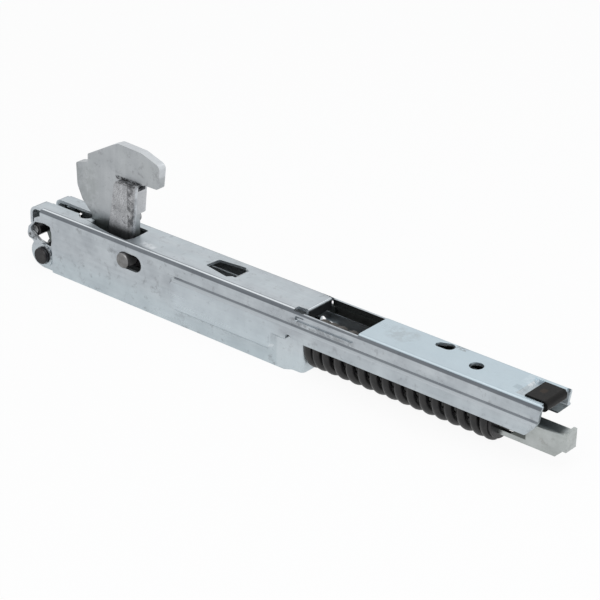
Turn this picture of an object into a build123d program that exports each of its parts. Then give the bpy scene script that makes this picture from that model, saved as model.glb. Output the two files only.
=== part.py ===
from build123d import *
import math
import os

os.makedirs("parts", exist_ok=True)

# Oven door hinge, door side, in millimetres, +Z up.
# X runs along the hinge from the hook end to the tie rod end.
# Y = 0 is the middle plane and -Y faces the viewer. Z = 0 is the bottom edge of the housing.
# Every X below is counted from the main pivot. The last step moves all pieces together, so
# that the origin sits under the middle of the whole hinge.

# Sheet channel
SHEET = 1.2
CHANNEL_HEIGHT = 25.0
CHANNEL_HALF_WIDTH = 9.2
BEND_OUTER = 2.0
BEND_INNER = BEND_OUTER - SHEET
CHANNEL_RIGHT = 231.5
WALL_CUT_Y = 15.0
WEB_CUT_BOTTOM = 22.0
WEB_CUT_TOP = 26.0
INNER_HALF_WIDTH = CHANNEL_HALF_WIDTH - SHEET
INNER_TOP = CHANNEL_HEIGHT - SHEET

# Main pivot
PIVOT_Z = 5.5
PIVOT_RADIUS = 3.0
PIVOT_HEAD_RADIUS = 3.3
PIVOT_HEAD = 2.3
PIVOT_CHAMFER = 0.3
EYE_RADIUS = 5.5
EYE_SHIFT = 1.3
EYE_RISE = 0.3
COLLAR_OUTER = 4.8
COLLAR_INNER = 3.6
COLLAR_HEIGHT = 0.5
SPACER_RADIUS = 3.9
SPACER_INNER_Y = 3.6
BUSH_RADIUS = 4.0
BUSH_HALF_LENGTH = 1.85

# Clearances, all on the radius or on one side
FIT_CLEARANCE = 0.03
RUN_CLEARANCE = 0.05
SIDE_CLEARANCE = 0.1
END_CLEARANCE = 0.05

# Wall ends at the hook side, pressed inward
END_RECESS = 1.0
END_RECESS_X = 6.0
END_RECESS_TOP = 20.0
RECESS_FACE_Y = CHANNEL_HALF_WIDTH - END_RECESS
RECESS_INNER_Y = INNER_HALF_WIDTH - END_RECESS
EAR_X = -6.7
EAR_Z = 12.4
EAR_RADIUS = 2.1
WALL_TOP_LEFT = -0.6
LIP_BOTTOM = 17.3
LIP_X = -6.6
FAR_LIP_X = -3.3
LIP_BEND = 3.5
FAR_LIP_BEND = 2.4
LIP_INNER_Y = 2.2
LIP_OUTER_Y = 8.4
FAR_LIP_OUTER_Y = 7.0
NOTCH_X = 17.0
NOTCH_Y = -1.0
NOTCH_RADIUS = 3.1

# Housing and rail
HOUSING_END = 130.3
JOG_START = 123.0
JOG_END = 125.6
JOG_DEPTH = 1.7
JOG_BEND = 1.0
FLANGE_BEND = 1.8
TAB_TOP = 13.2
SLOT_TOP = 14.1
RELIEF_RADIUS = 1.3
RAIL_BOTTOM = 13.4
WINDOW_START = 129.5
WINDOW_END = 155.3
WINDOW_WALL_TOP = 24.2
WEB_FOLD_X = 131.0
WEB_FOLD_BOTTOM = 21.0
WEB_FOLD_BEND = 0.7
WEB_FOLD_NEAR_Y = -5.6
WEB_FOLD_FAR_Y = 7.1
WEB_RELIEF_LEFT = 126.5
WEB_RELIEF_OUTER_Y = 8.7
WEB_RELIEF_GAP = 0.3
LEDGE_LEFT = 130.4
LEDGE_RIGHT = 132.7
LEDGE_TOP = 22.0
FLANGE_GAP = 0.3
FLANGE_WINDOW_Y = 3.7
FLANGE_WINDOW_Z = 5.9

# Raised panel and the strip that runs on along the rail
RAISE = 1.2
RAISE_MITRE = 0.5
PANEL_LEFT = 67.3
PANEL_RIGHT = 118.5
PANEL_BOTTOM = 5.6
STRIP_BOTTOM = 12.0
CREASE_Z = 19.3
PANEL_CORNER = 4.0

# Short stiffening bead beside the web window
BEAD_LEFT = 127.5
BEAD_RIGHT = 153.8
BEAD_LOW = 20.9
BEAD_HIGH = 22.9
BEAD_DEPTH = 0.6

# Holes in the rail web
SCREW_X = 199.1
SCREW_RADIUS = 2.6
KEYHOLE_X = 184.0
KEYHOLE_Y = 4.9
KEYHOLE_RADIUS = 2.3
KEYHOLE_SLOT_X = 180.9
KEYHOLE_SLOT_Y = 4.2
KEYHOLE_SLOT_RADIUS = 1.7

# Stepped seat of the end cap
SEAT_LEFT = 218.5
SEAT_HALF_WIDTH = 6.4
WEB_RIGHT = 230.5

# Detent pin, its slider and its spring
DETENT_X = 44.3
DETENT_Z = 17.8
DETENT_RADIUS = 3.0
DETENT_HALF_LENGTH = 10.5
DETENT_CHAMFER = 0.4
DETENT_SLOT_LEFT = 41.1
DETENT_SLOT_RIGHT = 53.1
DETENT_SLOT_HEIGHT = 6.6
SLIDER_EAR_RADIUS = 3.9
SLIDER_INNER_Y = 3.5
SLIDER_OUTER_Y = 5.3
BRIDGE_LEFT = 48.0
BRIDGE_RIGHT = 50.0
BRIDGE_HALF_HEIGHT = 2.8
STEM_RADIUS = 1.7
STEM_RIGHT = 97.0
STEM_COLLAR_RADIUS = 3.0
STEM_COLLAR_LEFT = 52.0
STEM_COLLAR_RIGHT = 54.0
TAB_X = 93.4
TAB_HALF_WIDTH = 3.6
TAB_BOTTOM = 14.0
TAB_HOLE_RADIUS = 2.0
SMALL_COIL_DIAMETER = 6.4
SMALL_WIRE = 1.0
SMALL_PITCH = 2.5
SMALL_STEPS = 6
SMALL_SIDES = 5

# Hook arm
ARM_HALF_THICKNESS = 1.75
ARM_EYE_RADIUS = 5.0
ARM_CATCH_RADIUS = 3.4
STOP_X = -6.0
STOP_Z = 14.0
STOP_RADIUS = 1.7
STOP_EAR_RADIUS = 2.8
STOP_HALF_LENGTH = 6.8
SLEEVE_RADIUS = 2.7
SLEEVE_LENGTH = 4.6
CRANK_RADIUS = 6.5
CRANK_ANGLE = 45.0
CRANK_X = CRANK_RADIUS * math.cos(math.radians(CRANK_ANGLE))
CRANK_Z = PIVOT_Z + CRANK_RADIUS * math.sin(math.radians(CRANK_ANGLE))
ROD_PIN_RADIUS = 1.5
ROD_PIN_HEAD_RADIUS = 2.2
ROD_PIN_HEAD = 0.8

# Lock lever on the hook arm
LEVER_PIVOT_X = 40.0
LEVER_PIVOT_Z = CHANNEL_HEIGHT + 6.0
LEVER_RIVET_RADIUS = 1.6
LEVER_RIVET_HEAD_RADIUS = 2.4
LEVER_RIVET_HEAD = 0.8
LEVER_INNER_Y = 1.95
LEVER_OUTER_Y = 3.95
LEVER_BEND = 1.8
LEVER_WEB_BOTTOM = CHANNEL_HEIGHT + 8.7
LEVER_TOP = CHANNEL_HEIGHT + 21.0
LEVER_WEB_TOP = CHANNEL_HEIGHT + 18.3
STEM_TOP_X = 43.0
STEM_LOW_X = 42.4
STEM_LOW_Z = CHANNEL_HEIGHT + 9.0

# Tie rod
ROD_SHEET = 1.3
ROD_LUG_OUTER_Y = 3.25
ROD_STRAP_OUTER_Y = 2.6
ROD_BOX_OUTER_Y = 2.9
ROD_BOTTOM = 6.7
ROD_TOP = 13.1
ROD_AXIS_Z = (ROD_BOTTOM + ROD_TOP) / 2
JOGGLE_START = 48.0
JOGGLE_END = 56.0
LUG_HALF_WIDTH = 4.3
LUG_BOTTOM = 8.65
LUG_TOP = 14.4
LUG_NOTCH_WIDTH = 3.7
LUG_NOTCH_CORNER = 0.8
ROD_FLAP_RIGHT = 238.2
ROD_BOX_RIGHT = ROD_FLAP_RIGHT - ROD_SHEET
ROD_BOX_LENGTH = 25.4
ROD_BOX_LEFT = ROD_BOX_RIGHT - ROD_BOX_LENGTH
STRAP_OVERLAP = 12.5
STRAP_RIGHT = ROD_BOX_LEFT + STRAP_OVERLAP
BOX_CORNER_LENGTH = 2.9
BOX_CORNER_X = ROD_BOX_RIGHT - BOX_CORNER_LENGTH
BOX_CORNER_Z = 8.0
ROD_FLAP_BOTTOM = 7.9
ROD_FLAP_TOP = 14.9
ROD_BOX_BOTTOM = 5.0
ROD_BOX_TOP = 14.3
BOX_STEP = 11.0
ROD_BOX_TOP_LEFT = ROD_BOX_LEFT + BOX_STEP
ROD_BEND = 1.2
BOX_STRIP_TOP = 6.8
BOX_STRIP = 4.7
BOX_RAMP = 3.0
BOX_RAMP_LEFT = ROD_BOX_LEFT + BOX_STRIP
BOX_RAMP_RIGHT = BOX_RAMP_LEFT + BOX_RAMP
BOX_RAMP_TOP = 9.3

# Main spring and its seat plate
COIL_DIAMETER = 17.4
WIRE = 3.6
PITCH = 5.0
COIL_STEPS = 10
COIL_SIDES = 6
CLOSE_WOUND = 1.05
GROUND_INSET = 0.2
PLATE_THICKNESS = 1.4
PLATE_LEFT = ROD_BOX_LEFT - SIDE_CLEARANCE - PLATE_THICKNESS
PLATE_RADIUS = 7.5

# End cap
CAP_LEFT = 222.7
CAP_RIGHT = 231.8
CAP_STAND = 0.6
CAP_TOP = CHANNEL_HEIGHT + CAP_STAND
CAP_NEAR_Y = -6.0
CAP_FAR_Y = 5.4
CAP_LIP = 0.9
CAP_LIP_LENGTH = 2.6
CAP_NOSE = 1.7
CAP_CORNER = 0.5

# Outlines as (x, z, corner radius). What stands above the web is counted from its top.
ARM_OUTLINE = [
    (21.6, CHANNEL_HEIGHT + 27.6, 2.5),
    (31.9, CHANNEL_HEIGHT + 33.3, 1.0),
    (35.0, CHANNEL_HEIGHT + 34.7, 3.0),
    (46.9, CHANNEL_HEIGHT + 34.2, 6.0),
    (56.1, CHANNEL_HEIGHT + 31.2, 2.4),
    (55.0, CHANNEL_HEIGHT + 21.8, 1.0),
    (48.5, CHANNEL_HEIGHT + 21.7, 1.0),
    (STEM_TOP_X, CHANNEL_HEIGHT + 20.4, 1.5),
    (STEM_LOW_X, STEM_LOW_Z, 0),
    (STEM_LOW_X, CHANNEL_HEIGHT - 0.5, 0),
    (39.2, 12.0, 1.0),
    (37.5, 10.2, 2.5),
    (28.0, 7.0, 8.0),
    (14.0, 5.5, 6.0),
    (0.0, 1.5, 0),
    (-6.0, 14.0, 0),
    (-6.0, 16.8, 0),
    (2.0, 19.5, 4.0),
    (12.0, 20.5, 3.0),
    (17.0, 22.0, 2.0),
    (21.4, CHANNEL_HEIGHT + 1.0, 2.0),
    (15.5, CHANNEL_HEIGHT + 6.7, 3.0),
    (13.0, CHANNEL_HEIGHT + 12.0, 4.0),
    (12.6, CHANNEL_HEIGHT + 21.1, 1.0),
    (18.9, CHANNEL_HEIGHT + 22.9, 0.8),
    (18.9, CHANNEL_HEIGHT + 26.2, 1.0),
]
LEVER_OUTLINE = [
    (31.0, CHANNEL_HEIGHT - 2.2, 0),
    (41.8, CHANNEL_HEIGHT - 2.2, 0),
    (43.3, CHANNEL_HEIGHT - 0.7, 0),
    (45.4, LEVER_TOP, 0),
    (34.9, LEVER_TOP, 3.0),
]
ROD_OUTLINE = [
    (CRANK_X - LUG_HALF_WIDTH, LUG_BOTTOM, 0),
    (18.0, LUG_BOTTOM, 0),
    (22.0, ROD_BOTTOM, 0),
    (STRAP_RIGHT, ROD_BOTTOM, 0),
    (STRAP_RIGHT, ROD_TOP, 0),
    (13.5, ROD_TOP, 0),
    (CRANK_X + LUG_HALF_WIDTH, LUG_TOP, 1.0),
    (CRANK_X - LUG_HALF_WIDTH, LUG_TOP, 1.5),
]
BOX_OUTLINE = [
    (ROD_BOX_LEFT, ROD_BOX_BOTTOM, 0),
    (BOX_CORNER_X, ROD_BOX_BOTTOM, 0),
    (ROD_BOX_RIGHT, BOX_CORNER_Z, 0),
    (ROD_BOX_RIGHT, ROD_BOX_TOP, 0),
    (ROD_BOX_TOP_LEFT, ROD_BOX_TOP, 0),
    (BOX_RAMP_RIGHT, BOX_RAMP_TOP, 0),
    (BOX_RAMP_LEFT, BOX_STRIP_TOP, 0),
    (ROD_BOX_LEFT, BOX_STRIP_TOP, 0),
]
WALL_OUTLINE = [
    (-5.6, 5.5, 0),
    (-5.6, 9.6, 0),
    (EAR_X - EAR_RADIUS, EAR_Z, 0),
    (-8.2, 15.2, 0),
    (-3.9, 19.6, 0),
    (-3.6, 20.4, 0),
    (WALL_TOP_LEFT, 21.9, 0),
    (WALL_TOP_LEFT, CHANNEL_HEIGHT + 1, 0),
    (CHANNEL_RIGHT + 0.2, CHANNEL_HEIGHT + 1, 0),
    (230.3, 17.6, 1.0),
    (226.5, RAIL_BOTTOM, 1.0),
    (HOUSING_END + 0.7, RAIL_BOTTOM, 0),
    (HOUSING_END + 0.7, 0.0, 0),
    (0.0, 0.0, 0),
]
# Window in both walls at the hook side
END_WINDOW = [
    (-4.3, 18.2, 0.5),
    (-7.0, 15.2, 0.5),
    (-6.6, 13.6, 0.5),
    (-2.2, 11.0, 0),
    (3.9, 10.1, 0.5),
    (5.0, 14.7, 0),
    (5.0, 19.2, 0.8),
    (3.3, 19.3, 0),
]
# Plan views of the web openings as (x, y, corner radius)
HOOK_SLOT = [
    (-20.0, -1.9, 0),
    (22.3, -1.9, 1.0),
    (23.0, -4.7, 0.6),
    (28.8, -6.0, 2.0),
    (35.0, -6.9, 3.0),
    (43.4, -7.3, 0.6),
    (44.6, -3.8, 0.5),
    (44.4, 1.3, 0.5),
    (44.1, 4.3, 0.3),
    (42.6, 4.6, 0.4),
    (24.0, 4.6, 1.0),
    (22.8, 2.2, 0.8),
    (-20.0, 2.2, 0),
]
SPRING_WINDOW = [
    (80.0, -3.0, 0.6),
    (80.6, 3.7, 0.6),
    (92.3, 5.1, 0.6),
    (93.4, 3.8, 0.3),
    (93.4, -3.6, 0.3),
    (91.7, -5.2, 0.6),
]


def outline(corners):
    """Flat face through the corners, each given as (x, y, corner radius)."""
    points = [(x, y) for x, y, _ in corners]
    pairs = zip(points, points[1:] + points[:1])
    if sum(a[0] * b[1] - b[0] * a[1] for a, b in pairs) < 0:
        points.reverse()
    face = Polygon(*points, align=None)
    for x, y, radius in corners:
        if radius:
            corner = face.vertices().sort_by_distance((x, y, 0))[0]
            face = fillet(corner, radius)
    return face


def across(sketch, near_y, far_y):
    """Extrude an X-Z sketch across the hinge."""
    return extrude(Plane.XZ.offset(-far_y) * sketch, amount=far_y - near_y)


def upward(sketch, low_z, high_z):
    """Extrude an X-Y sketch upward."""
    return extrude(Plane.XY.offset(low_z) * sketch, amount=high_z - low_z)


def along(sketch, left_x, right_x):
    """Extrude a Y-Z sketch along the hinge."""
    return extrude(Plane.YZ.offset(left_x) * sketch, amount=right_x - left_x)


def block(x0, x1, y0, y1, z0, z1):
    """Box between three pairs of limits."""
    return Pos(x0, y0, z0) * Box(x1 - x0, y1 - y0, z1 - z0, align=Align.MIN)


def both_sides(solid):
    """The solid and its mirror image in the middle plane."""
    return solid + mirror(solid, about=Plane.XZ)


def disc(x, z, radius, near_y, far_y):
    """Round bar across the hinge."""
    return across(Pos(x, z) * Circle(radius), near_y, far_y)


def tube(x, z, outer, inner, near_y, far_y):
    """Round tube across the hinge."""
    return across(Pos(x, z) * (Circle(outer) - Circle(inner)), near_y, far_y)


def web_opening(sketch):
    """Cutter that passes right through the web, from its plan view."""
    return upward(sketch, WEB_CUT_BOTTOM, WEB_CUT_TOP)


def web_cut(left, right, near_y, far_y):
    """Square cutter that passes right through the web."""
    return block(left, right, near_y, far_y, WEB_CUT_BOTTOM, WEB_CUT_TOP)


def tapered(sketch, face_y, amount):
    """Boss on the near side with 45 degree flanks, growing outward from face_y."""
    return extrude(Plane.XZ.offset(-face_y) * sketch, amount=amount, taper=45)


def coil(left, right, diameter, wire, pitch, axis_z, steps, sides):
    """Coil spring along X from flat-sided wire, close-wound and ground flat at both ends."""
    mean = (diameter - wire) / 2
    close_pitch = wire * CLOSE_WOUND
    inset = wire * GROUND_INSET
    free_turns = (right - left - 2 * (inset + close_pitch)) / pitch
    turns = free_turns + 2
    count = round(turns * steps)
    points = []
    for i in range(count + 1):
        turn = turns * i / count
        x = left + inset + close_pitch * min(turn, 1)
        x += pitch * min(max(turn - 1, 0), free_turns)
        x += close_pitch * max(turn - 1 - free_turns, 0)
        angle = 2 * math.pi * turn
        points.append((x, mean * math.cos(angle), axis_z + mean * math.sin(angle)))
    path = Polyline(*points)
    section = Plane(path @ 0, z_dir=path % 0) * RegularPolygon(wire / 2, sides)
    winding = sweep(section, path=path, transition=Transition.RIGHT)
    reach = diameter
    return winding & block(left, right, -reach, reach, axis_z - reach, axis_z + reach)


def channel_body():
    """U-section with the raised panel, bead and pressed-in ends, before any opening."""
    half = CHANNEL_HALF_WIDTH
    outer = Polygon(
        (-half, -1), (half, -1), (half, CHANNEL_HEIGHT), (-half, CHANNEL_HEIGHT), align=None
    )
    outer = fillet(outer.vertices().group_by(Axis.Y)[-1], BEND_OUTER)
    half = INNER_HALF_WIDTH
    inner = Polygon((-half, -2), (half, -2), (half, INNER_TOP), (-half, INNER_TOP), align=None)
    inner = fillet(inner.vertices().group_by(Axis.Y)[-1], BEND_INNER)
    body = along(outer, EAR_X - EAR_RADIUS, CHANNEL_RIGHT)
    body -= along(inner, EAR_X - EAR_RADIUS - 1, CHANNEL_RIGHT + 1)

    beyond = CHANNEL_RIGHT + 8
    panel = outline(
        [
            (PANEL_LEFT, PANEL_BOTTOM, PANEL_CORNER),
            (PANEL_RIGHT, PANEL_BOTTOM, PANEL_CORNER),
            (PANEL_RIGHT, STRIP_BOTTOM, 0),
            (beyond, STRIP_BOTTOM, 0),
            (beyond, CREASE_Z, 0),
            (PANEL_LEFT, CREASE_Z, PANEL_CORNER),
        ]
    )
    body += both_sides(tapered(panel, -CHANNEL_HALF_WIDTH, RAISE))
    hollow = offset(panel, amount=-RAISE_MITRE)
    body -= both_sides(tapered(hollow, -INNER_HALF_WIDTH, RAISE))

    bead_z = (BEAD_LOW + BEAD_HIGH) / 2
    bead_height = BEAD_HIGH - BEAD_LOW
    bead_mid = (BEAD_LEFT + BEAD_RIGHT) / 2
    bead = Pos(bead_mid, bead_z) * SlotOverall(BEAD_RIGHT - BEAD_LEFT, bead_height)
    body += both_sides(across(bead, -INNER_HALF_WIDTH, -INNER_HALF_WIDTH + BEAD_DEPTH))
    body -= both_sides(across(bead, -CHANNEL_HALF_WIDTH, -CHANNEL_HALF_WIDTH + BEAD_DEPTH))

    recess = outline(
        [
            (-20, -1, 0),
            (END_RECESS_X, -1, 0),
            (END_RECESS_X, END_RECESS_TOP, PANEL_CORNER),
            (-20, END_RECESS_TOP, 0),
        ]
    )
    backing = across(recess, -INNER_HALF_WIDTH, -RECESS_INNER_Y)
    backing &= block(EAR_X - EAR_RADIUS, END_RECESS_X, -20, 0, -1, END_RECESS_TOP)
    body += both_sides(backing)
    shallow = offset(recess, amount=-RAISE_MITRE)
    body -= both_sides(across(shallow, -CHANNEL_HALF_WIDTH - 1, -RECESS_FACE_Y))

    profile = outline(WALL_OUTLINE)
    profile += Pos(0, PIVOT_Z) * Circle(EYE_RADIUS)
    profile += Pos(-EYE_SHIFT, PIVOT_Z + EYE_RISE) * Circle(EYE_RADIUS)
    profile += Pos(EAR_X, EAR_Z) * Circle(EAR_RADIUS)
    return body & across(profile, -WALL_CUT_Y, WALL_CUT_Y)


def lip_outline(left, bend):
    """Section of a lip that runs on from the web and bends down at its left end."""
    right = WALL_TOP_LEFT + 0.5
    return outline(
        [
            (right, CHANNEL_HEIGHT, 0),
            (left, CHANNEL_HEIGHT, bend),
            (left, LIP_BOTTOM, 0),
            (left + SHEET, LIP_BOTTOM, 0),
            (left + SHEET, INNER_TOP, bend - SHEET),
            (right, INNER_TOP, 0),
        ]
    )


def make_channel():
    """The one folded sheet that carries everything: housing on the left, rail on the right."""
    body = channel_body()
    wide = WALL_CUT_Y

    # Hook side: open end, lips bent down, hook slot with its round notch
    body += across(lip_outline(LIP_X, LIP_BEND), -LIP_OUTER_Y, -LIP_INNER_Y)
    body += across(lip_outline(FAR_LIP_X, FAR_LIP_BEND), LIP_INNER_Y, FAR_LIP_OUTER_Y)
    slot = outline(HOOK_SLOT) + Pos(NOTCH_X, NOTCH_Y) * Circle(NOTCH_RADIUS)
    body -= web_opening(slot)
    body -= across(outline(END_WINDOW), -wide, wide)
    collar = tube(
        0, PIVOT_Z, COLLAR_OUTER, COLLAR_INNER, -RECESS_FACE_Y - COLLAR_HEIGHT, -RECESS_FACE_Y
    )
    body += both_sides(collar)
    body -= disc(0, PIVOT_Z, PIVOT_RADIUS + FIT_CLEARANCE, -wide, wide)

    # Slot for the detent pin
    slot_length = DETENT_SLOT_RIGHT - DETENT_SLOT_LEFT
    slot_mid = (DETENT_SLOT_RIGHT + DETENT_SLOT_LEFT) / 2
    slot = Pos(slot_mid, DETENT_Z) * SlotOverall(slot_length, DETENT_SLOT_HEIGHT)
    body -= across(slot, -wide, wide)

    # Web window with the tab that the detent spring rests against
    body -= web_opening(outline(SPRING_WINDOW))
    tab = outline(
        [
            (TAB_X + 3, CHANNEL_HEIGHT, 0),
            (TAB_X, CHANNEL_HEIGHT, BEND_OUTER),
            (TAB_X, TAB_BOTTOM, 0),
            (TAB_X + SHEET, TAB_BOTTOM, 0),
            (TAB_X + SHEET, INNER_TOP, BEND_INNER),
            (TAB_X + 3, INNER_TOP, 0),
        ]
    )
    body -= web_cut(TAB_X - 0.1, TAB_X + 3, -TAB_HALF_WIDTH, TAB_HALF_WIDTH)
    body += across(tab, -TAB_HALF_WIDTH, TAB_HALF_WIDTH)
    hole = Plane.YZ.offset(TAB_X - 1) * (Pos(0, DETENT_Z) * Circle(TAB_HOLE_RADIUS))
    body -= extrude(hole, amount=3)

    # Housing end: lower walls jog inward and fold shut, upper web folds down
    body -= both_sides(block(JOG_START, HOUSING_END + 1, -wide, -5, -1, TAB_TOP))
    body -= both_sides(block(JOG_END, HOUSING_END + 0.7, -wide, -5, TAB_TOP - 0.1, SLOT_TOP))
    outer_y = CHANNEL_HALF_WIDTH
    inner_y = INNER_HALF_WIDTH
    fold = outline(
        [
            (JOG_START - 0.1, -outer_y, 0),
            (JOG_START, -outer_y, 0),
            (JOG_END, -outer_y + JOG_DEPTH, JOG_BEND),
            (HOUSING_END, -outer_y + JOG_DEPTH, FLANGE_BEND),
            (HOUSING_END, -FLANGE_GAP, 0),
            (HOUSING_END - SHEET, -FLANGE_GAP, 0),
            (HOUSING_END - SHEET, -inner_y + JOG_DEPTH, FLANGE_BEND - SHEET),
            (JOG_END, -inner_y + JOG_DEPTH, JOG_BEND),
            (JOG_START, -inner_y, 0),
            (JOG_START - 0.1, -inner_y, 0),
        ]
    )
    body += both_sides(upward(fold, 0, TAB_TOP))
    body -= block(
        JOG_END + SHEET, HOUSING_END + 1, -FLANGE_WINDOW_Y, FLANGE_WINDOW_Y, FLANGE_WINDOW_Z, 14
    )
    body -= disc(JOG_END, SLOT_TOP - 0.3, RELIEF_RADIUS, -wide, wide)

    # Long window in the web, corner reliefs and the folded end of the housing web
    body -= web_cut(WINDOW_START, WINDOW_END, -inner_y, inner_y)
    body -= block(WINDOW_START, WINDOW_END, -wide, wide, WINDOW_WALL_TOP, WEB_CUT_TOP)
    relief_near = WEB_FOLD_NEAR_Y - WEB_RELIEF_GAP
    relief_far = WEB_FOLD_FAR_Y + WEB_RELIEF_GAP
    body -= web_cut(WEB_RELIEF_LEFT, WEB_FOLD_X, -WEB_RELIEF_OUTER_Y, relief_near)
    body -= web_cut(WEB_RELIEF_LEFT, WEB_FOLD_X, relief_far, WEB_RELIEF_OUTER_Y)
    end_fold = outline(
        [
            (WEB_RELIEF_LEFT, CHANNEL_HEIGHT, 0),
            (WEB_FOLD_X, CHANNEL_HEIGHT, WEB_FOLD_BEND),
            (WEB_FOLD_X, WEB_FOLD_BOTTOM, 0),
            (WEB_FOLD_X - SHEET, WEB_FOLD_BOTTOM, 0),
            (WEB_FOLD_X - SHEET, INNER_TOP, 0),
            (WEB_RELIEF_LEFT, INNER_TOP, 0),
        ]
    )
    body += across(end_fold, WEB_FOLD_NEAR_Y, WEB_FOLD_FAR_Y)
    ledge_y = inner_y - SHEET
    body += block(LEDGE_LEFT, LEDGE_RIGHT, ledge_y, inner_y + 0.1, CREASE_Z, LEDGE_TOP)

    # Rail web: screw hole, keyhole and the stepped seat of the end cap
    body -= web_opening(Pos(SCREW_X, 0) * Circle(SCREW_RADIUS))
    keyhole = Pos(KEYHOLE_X, KEYHOLE_Y) * Circle(KEYHOLE_RADIUS)
    keyhole += Pos(KEYHOLE_SLOT_X, KEYHOLE_SLOT_Y) * Circle(KEYHOLE_SLOT_RADIUS)
    body -= web_opening(make_hull(keyhole.edges()))
    beyond = CHANNEL_RIGHT + 8
    seat_low = INNER_TOP - SHEET
    step = outline(
        [
            (SEAT_LEFT - SHEET - 0.6, INNER_TOP, 0),
            (SEAT_LEFT + 0.6, seat_low, 0),
            (WEB_RIGHT, seat_low, 0),
            (WEB_RIGHT, INNER_TOP, 0),
        ]
    )
    dip = outline(
        [
            (SEAT_LEFT - 0.6, CHANNEL_HEIGHT + 0.5, 0),
            (SEAT_LEFT + SHEET, INNER_TOP, 0),
            (beyond, INNER_TOP, 0),
            (beyond, CHANNEL_HEIGHT + 0.5, 0),
        ]
    )
    body += across(step, -SEAT_HALF_WIDTH - RAISE_MITRE, SEAT_HALF_WIDTH + RAISE_MITRE)
    body -= across(dip, -SEAT_HALF_WIDTH, SEAT_HALF_WIDTH)
    return body - web_cut(WEB_RIGHT, beyond, -inner_y, inner_y)


def make_end_cap():
    """Plastic cap pushed over the end of the rail web, with a rolled nose."""
    floor = INNER_TOP + RUN_CLEARANCE
    under = INNER_TOP - SHEET - RUN_CLEARANCE
    front = WEB_RIGHT + RUN_CLEARANCE
    lip_left = CAP_RIGHT - CAP_LIP_LENGTH
    shape = outline(
        [
            (CAP_LEFT, floor, 0),
            (CAP_LEFT, CAP_TOP, CAP_CORNER),
            (CAP_RIGHT, CAP_TOP, CAP_NOSE),
            (CAP_RIGHT, under - CAP_LIP, CAP_NOSE),
            (lip_left, under - CAP_LIP, 0),
            (lip_left, under, 0),
            (front, under, 0),
            (front, floor, 0),
        ]
    )
    return across(shape, CAP_NEAR_Y, CAP_FAR_Y)


def make_pivot_rivet():
    """Main pivot: a shank through both walls with a formed head on each side."""
    head_end = RECESS_FACE_Y + PIVOT_HEAD
    rivet = disc(0, PIVOT_Z, PIVOT_RADIUS, -head_end, head_end)
    head = disc(0, PIVOT_Z, PIVOT_HEAD_RADIUS, -head_end, -RECESS_FACE_Y)
    rivet += both_sides(head)
    return chamfer(rivet.edges().filter_by(GeomType.CIRCLE).group_by(Axis.Y)[0], PIVOT_CHAMFER)


def make_hook_arm():
    """Flat hook arm with its eye, stop ear, crank hole and the hollow that holds the detent pin."""
    shape = outline(ARM_OUTLINE)
    shape += Pos(0, PIVOT_Z) * Circle(ARM_EYE_RADIUS)
    shape += Pos(STOP_X, STOP_Z) * Circle(STOP_EAR_RADIUS)
    shape -= Pos(DETENT_X, DETENT_Z) * Circle(ARM_CATCH_RADIUS)
    shape -= Pos(0, PIVOT_Z) * Circle(BUSH_RADIUS + FIT_CLEARANCE)
    shape -= Pos(STOP_X, STOP_Z) * Circle(STOP_RADIUS + FIT_CLEARANCE)
    shape -= Pos(CRANK_X, CRANK_Z) * Circle(ROD_PIN_RADIUS + FIT_CLEARANCE)
    shape -= Pos(LEVER_PIVOT_X, LEVER_PIVOT_Z) * Circle(LEVER_RIVET_RADIUS + FIT_CLEARANCE)
    return across(shape, -ARM_HALF_THICKNESS, ARM_HALF_THICKNESS)


def make_lock_lever():
    """Folded lever around the stem of the hook arm, carried by its near cheek."""
    lever = across(outline(LEVER_OUTLINE), -LEVER_OUTER_Y, LEVER_OUTER_Y)
    front = [edge for edge in lever.edges() if edge.center().X > STEM_TOP_X]
    upright = [edge for edge in front if abs((edge % 0.5).Z) > 0.9]
    lever = fillet(upright, LEVER_BEND)
    gap = LEVER_INNER_Y - ARM_HALF_THICKNESS
    left = LEVER_PIVOT_X - LEVER_TOP
    right = LEVER_PIVOT_X + LEVER_TOP
    above = LEVER_TOP + SHEET
    stem = outline(
        [
            (left, 0, 0),
            (STEM_LOW_X + gap, 0, 0),
            (STEM_LOW_X + gap, LEVER_WEB_BOTTOM, 0),
            (STEM_TOP_X + gap, LEVER_WEB_TOP, 0),
            (STEM_TOP_X + gap, above, 0),
            (left, above, 0),
        ]
    )
    inner_y = LEVER_INNER_Y
    lever -= across(stem, -inner_y, inner_y)
    lever -= block(left, right, -inner_y, inner_y, LEVER_WEB_TOP, above)
    lever -= block(left, right, -inner_y, LEVER_OUTER_Y + 1, 0, LEVER_WEB_BOTTOM)
    bore = LEVER_RIVET_RADIUS + RUN_CLEARANCE
    return lever - disc(LEVER_PIVOT_X, LEVER_PIVOT_Z, bore, -WALL_CUT_Y, WALL_CUT_Y)


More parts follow.
